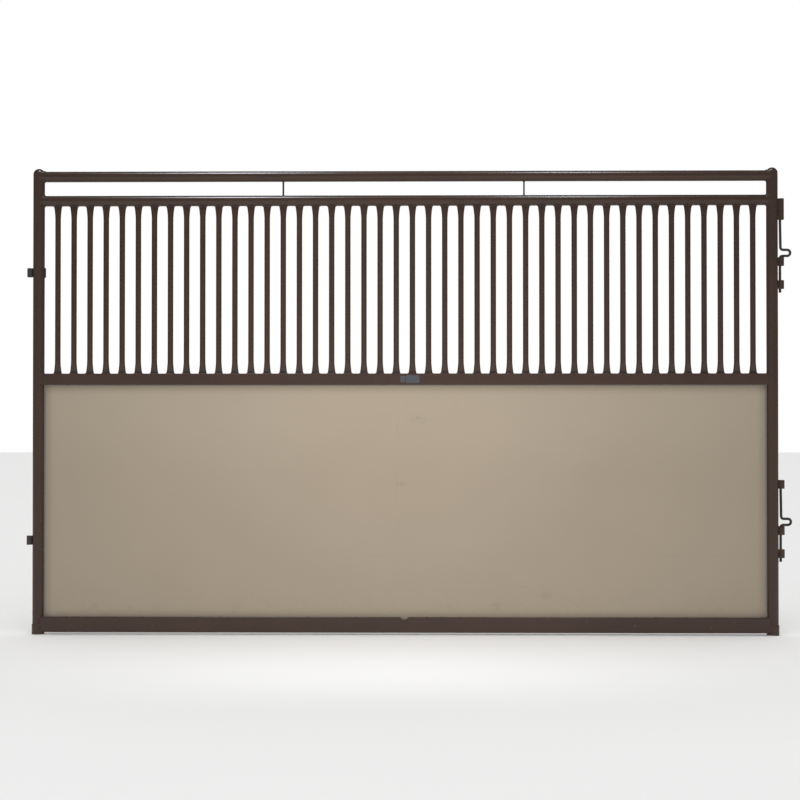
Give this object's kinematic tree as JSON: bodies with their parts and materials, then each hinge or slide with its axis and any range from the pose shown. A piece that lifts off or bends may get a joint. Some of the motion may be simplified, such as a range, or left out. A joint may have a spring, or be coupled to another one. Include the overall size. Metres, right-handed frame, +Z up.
{
  "type": "livestock panel gate",
  "caption": "Tall livestock panel gate: barred grille over a solid sheet in a tube frame, with drop-pin latches on one post and pin eyes on the other.",
  "frame": {"origin": "on the floor, midway between the two posts, in the plane of their axes", "axes": "+X towards the latch post, which carries the drop pins; +Y to the back; +Z up; the front faces -Y"},
  "size_m": [3.7356, 0.0652, 2.278],
  "materials": {
    "frame_paint": "glossy dark brown powder coat",
    "sheet": "satin tan sheet, lightly scuffed",
    "channel": "dull galvanised",
    "pin": "dark paint, rubbed where it slides",
    "label": "blank satin plate"
  },
  "bodies": {
    "frame": {"blank_label": "label", "blank_tag": "label", "bottom_rail": "frame_paint", "grille_bars_01_02": "frame_paint", "grille_bars_03_04": "frame_paint", "grille_bars_05_06": "frame_paint", "grille_bars_07_08": "frame_paint", "grille_bars_09_10": "frame_paint", "grille_bars_11_12": "frame_paint", "grille_bars_13_14": "frame_paint", "grille_bars_15_16": "frame_paint", "grille_bars_17_18": "frame_paint", "grille_bars_19_20": "frame_paint", "grille_bars_21_22": "frame_paint", "grille_bars_23_24": "frame_paint", "grille_bars_25_26": "frame_paint", "grille_bars_27_28": "frame_paint", "grille_bars_29_30": "frame_paint", "grille_bars_31_32": "frame_paint", "grille_bars_33_34": "frame_paint", "grille_bars_35_36": "frame_paint", "grille_bars_37_38": "frame_paint", "grille_bars_39_40": "frame_paint", "grille_bars_41_42": "frame_paint", "grille_bars_43_44": "frame_paint", "grille_top_rail": "frame_paint", "hinge_edge_channel": "channel", "hinge_post": "frame_paint", "hinge_post_cap": "frame_paint", "hinge_post_foot": "frame_paint", "infill_sheet": "sheet", "latch_edge_channel": "channel", "latch_post": "frame_paint", "latch_post_cap": "frame_paint", "latch_post_foot": "frame_paint", "lower_bottom_sleeve": "frame_paint", "lower_hinge_eye": "frame_paint", "lower_keeper_sleeve": "frame_paint", "lower_top_sleeve": "frame_paint", "mid_rail": "frame_paint", "rail_spacer_hinge_side": "frame_paint", "rail_spacer_latch_side": "frame_paint", "top_edge_channel": "channel", "top_rail": "frame_paint", "upper_bottom_sleeve": "frame_paint", "upper_hinge_eye": "frame_paint", "upper_keeper_sleeve": "frame_paint", "upper_top_sleeve": "frame_paint"},
    "upper_pin": {"upper_drop_pin": "pin"},
    "lower_pin": {"lower_drop_pin": "pin"}
  },
  "joints": [
    {"name": "upper_pin_lift", "type": "slide", "parent": "frame", "child": "upper_pin", "axis": [0, 0, 1], "range_m": [0, 0.138]},
    {"name": "lower_pin_lift", "type": "slide", "parent": "frame", "child": "lower_pin", "axis": [0, 0, 1], "range_m": [0, 0.138]}
  ]
}
